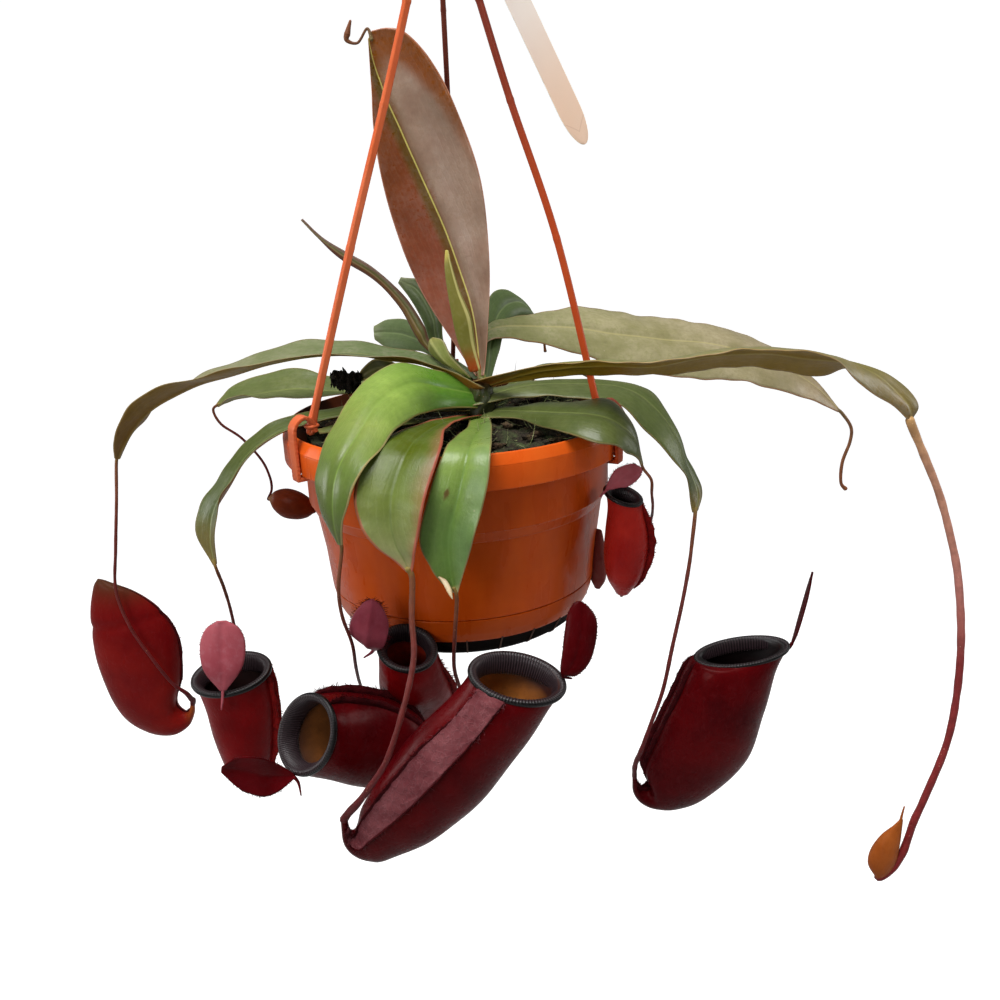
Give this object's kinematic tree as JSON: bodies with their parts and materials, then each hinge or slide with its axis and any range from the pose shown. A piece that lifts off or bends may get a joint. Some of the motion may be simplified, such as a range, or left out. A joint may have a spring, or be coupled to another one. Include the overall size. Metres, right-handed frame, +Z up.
{
  "type": "hanging pitcher plant",
  "caption": "Hanging pot plant with arching strap leaves and dark pitchers dangling on tendrils, in a round stepped plastic pot held by hanger arms and a hook.",
  "frame": {"origin": "crown of the hook's inner curve, the point that rests on the rail, straight above where the hanger's arms meet", "axes": "+Z up, +X to the right and +Y to the back as the plant is seen from its front, where the largest pitcher hangs before the pot"},
  "size_m": [0.3586, 0.1816, 0.446],
  "materials": {
    "orange_plastic": "gloss",
    "hanger_plastic": "satin",
    "label_plastic": "satin",
    "potting_mix": "matte",
    "stem": "satin",
    "green_leaf": "satin",
    "young_leaf": "satin",
    "bronze_leaf": "satin",
    "tendril": "satin",
    "pitcher": "gloss",
    "lid": "satin",
    "bud": "satin",
    "dried_leaf": "matte"
  },
  "bodies": {
    "root": {"pot": "orange_plastic", "drip_tray": "orange_plastic", "hanger_hook": "hanger_plastic", "hanger_arm_left": "hanger_plastic", "hanger_arm_right": "hanger_plastic", "hanger_arm_back": "hanger_plastic", "potting_mix": "potting_mix", "plant_label": "label_plastic", "stem": "stem", "tall_leaf": "bronze_leaf", "right_long_leaf": "green_leaf", "right_broad_leaf": "green_leaf", "left_long_leaf": "green_leaf", "back_left_leaf": "green_leaf", "left_arched_leaf": "green_leaf", "front_left_leaf": "green_leaf", "front_right_leaf": "green_leaf", "right_front_leaf": "green_leaf", "right_bent_leaf": "green_leaf", "upright_back_leaf": "green_leaf", "blunt_back_leaf": "green_leaf", "folded_leaf": "green_leaf", "back_right_leaf": "green_leaf", "low_back_leaf": "green_leaf", "curled_leaf": "green_leaf", "side_leaf": "green_leaf", "dying_leaf": "green_leaf", "front_broad_leaf": "young_leaf", "rolled_leaf": "young_leaf", "tall_leaf_tendril": "tendril", "right_long_tendril": "tendril", "right_broad_tendril": "tendril", "left_long_tendril": "tendril", "back_left_tendril": "tendril", "left_arched_tendril": "tendril", "front_broad_tendril": "tendril", "front_left_tendril": "tendril", "front_right_tendril": "tendril", "right_front_tendril": "tendril", "right_bent_tendril": "tendril", "back_right_tendril": "tendril", "pitcher_left": "pitcher", "pitcher_left_lid": "lid", "pitcher_middle": "pitcher", "pitcher_middle_lid": "lid", "pitcher_largest": "pitcher", "pitcher_largest_lid": "lid", "pitcher_sideways": "pitcher", "pitcher_sideways_lid": "lid", "pitcher_small_right": "pitcher", "pitcher_small_right_lid": "lid", "pitcher_right": "pitcher", "pitcher_right_lid": "lid", "closed_pitcher_left": "pitcher", "flat_bud": "pitcher", "small_pod": "bud", "tendril_bud": "bud", "dried_tip": "dried_leaf"}
  },
  "joints": []
}
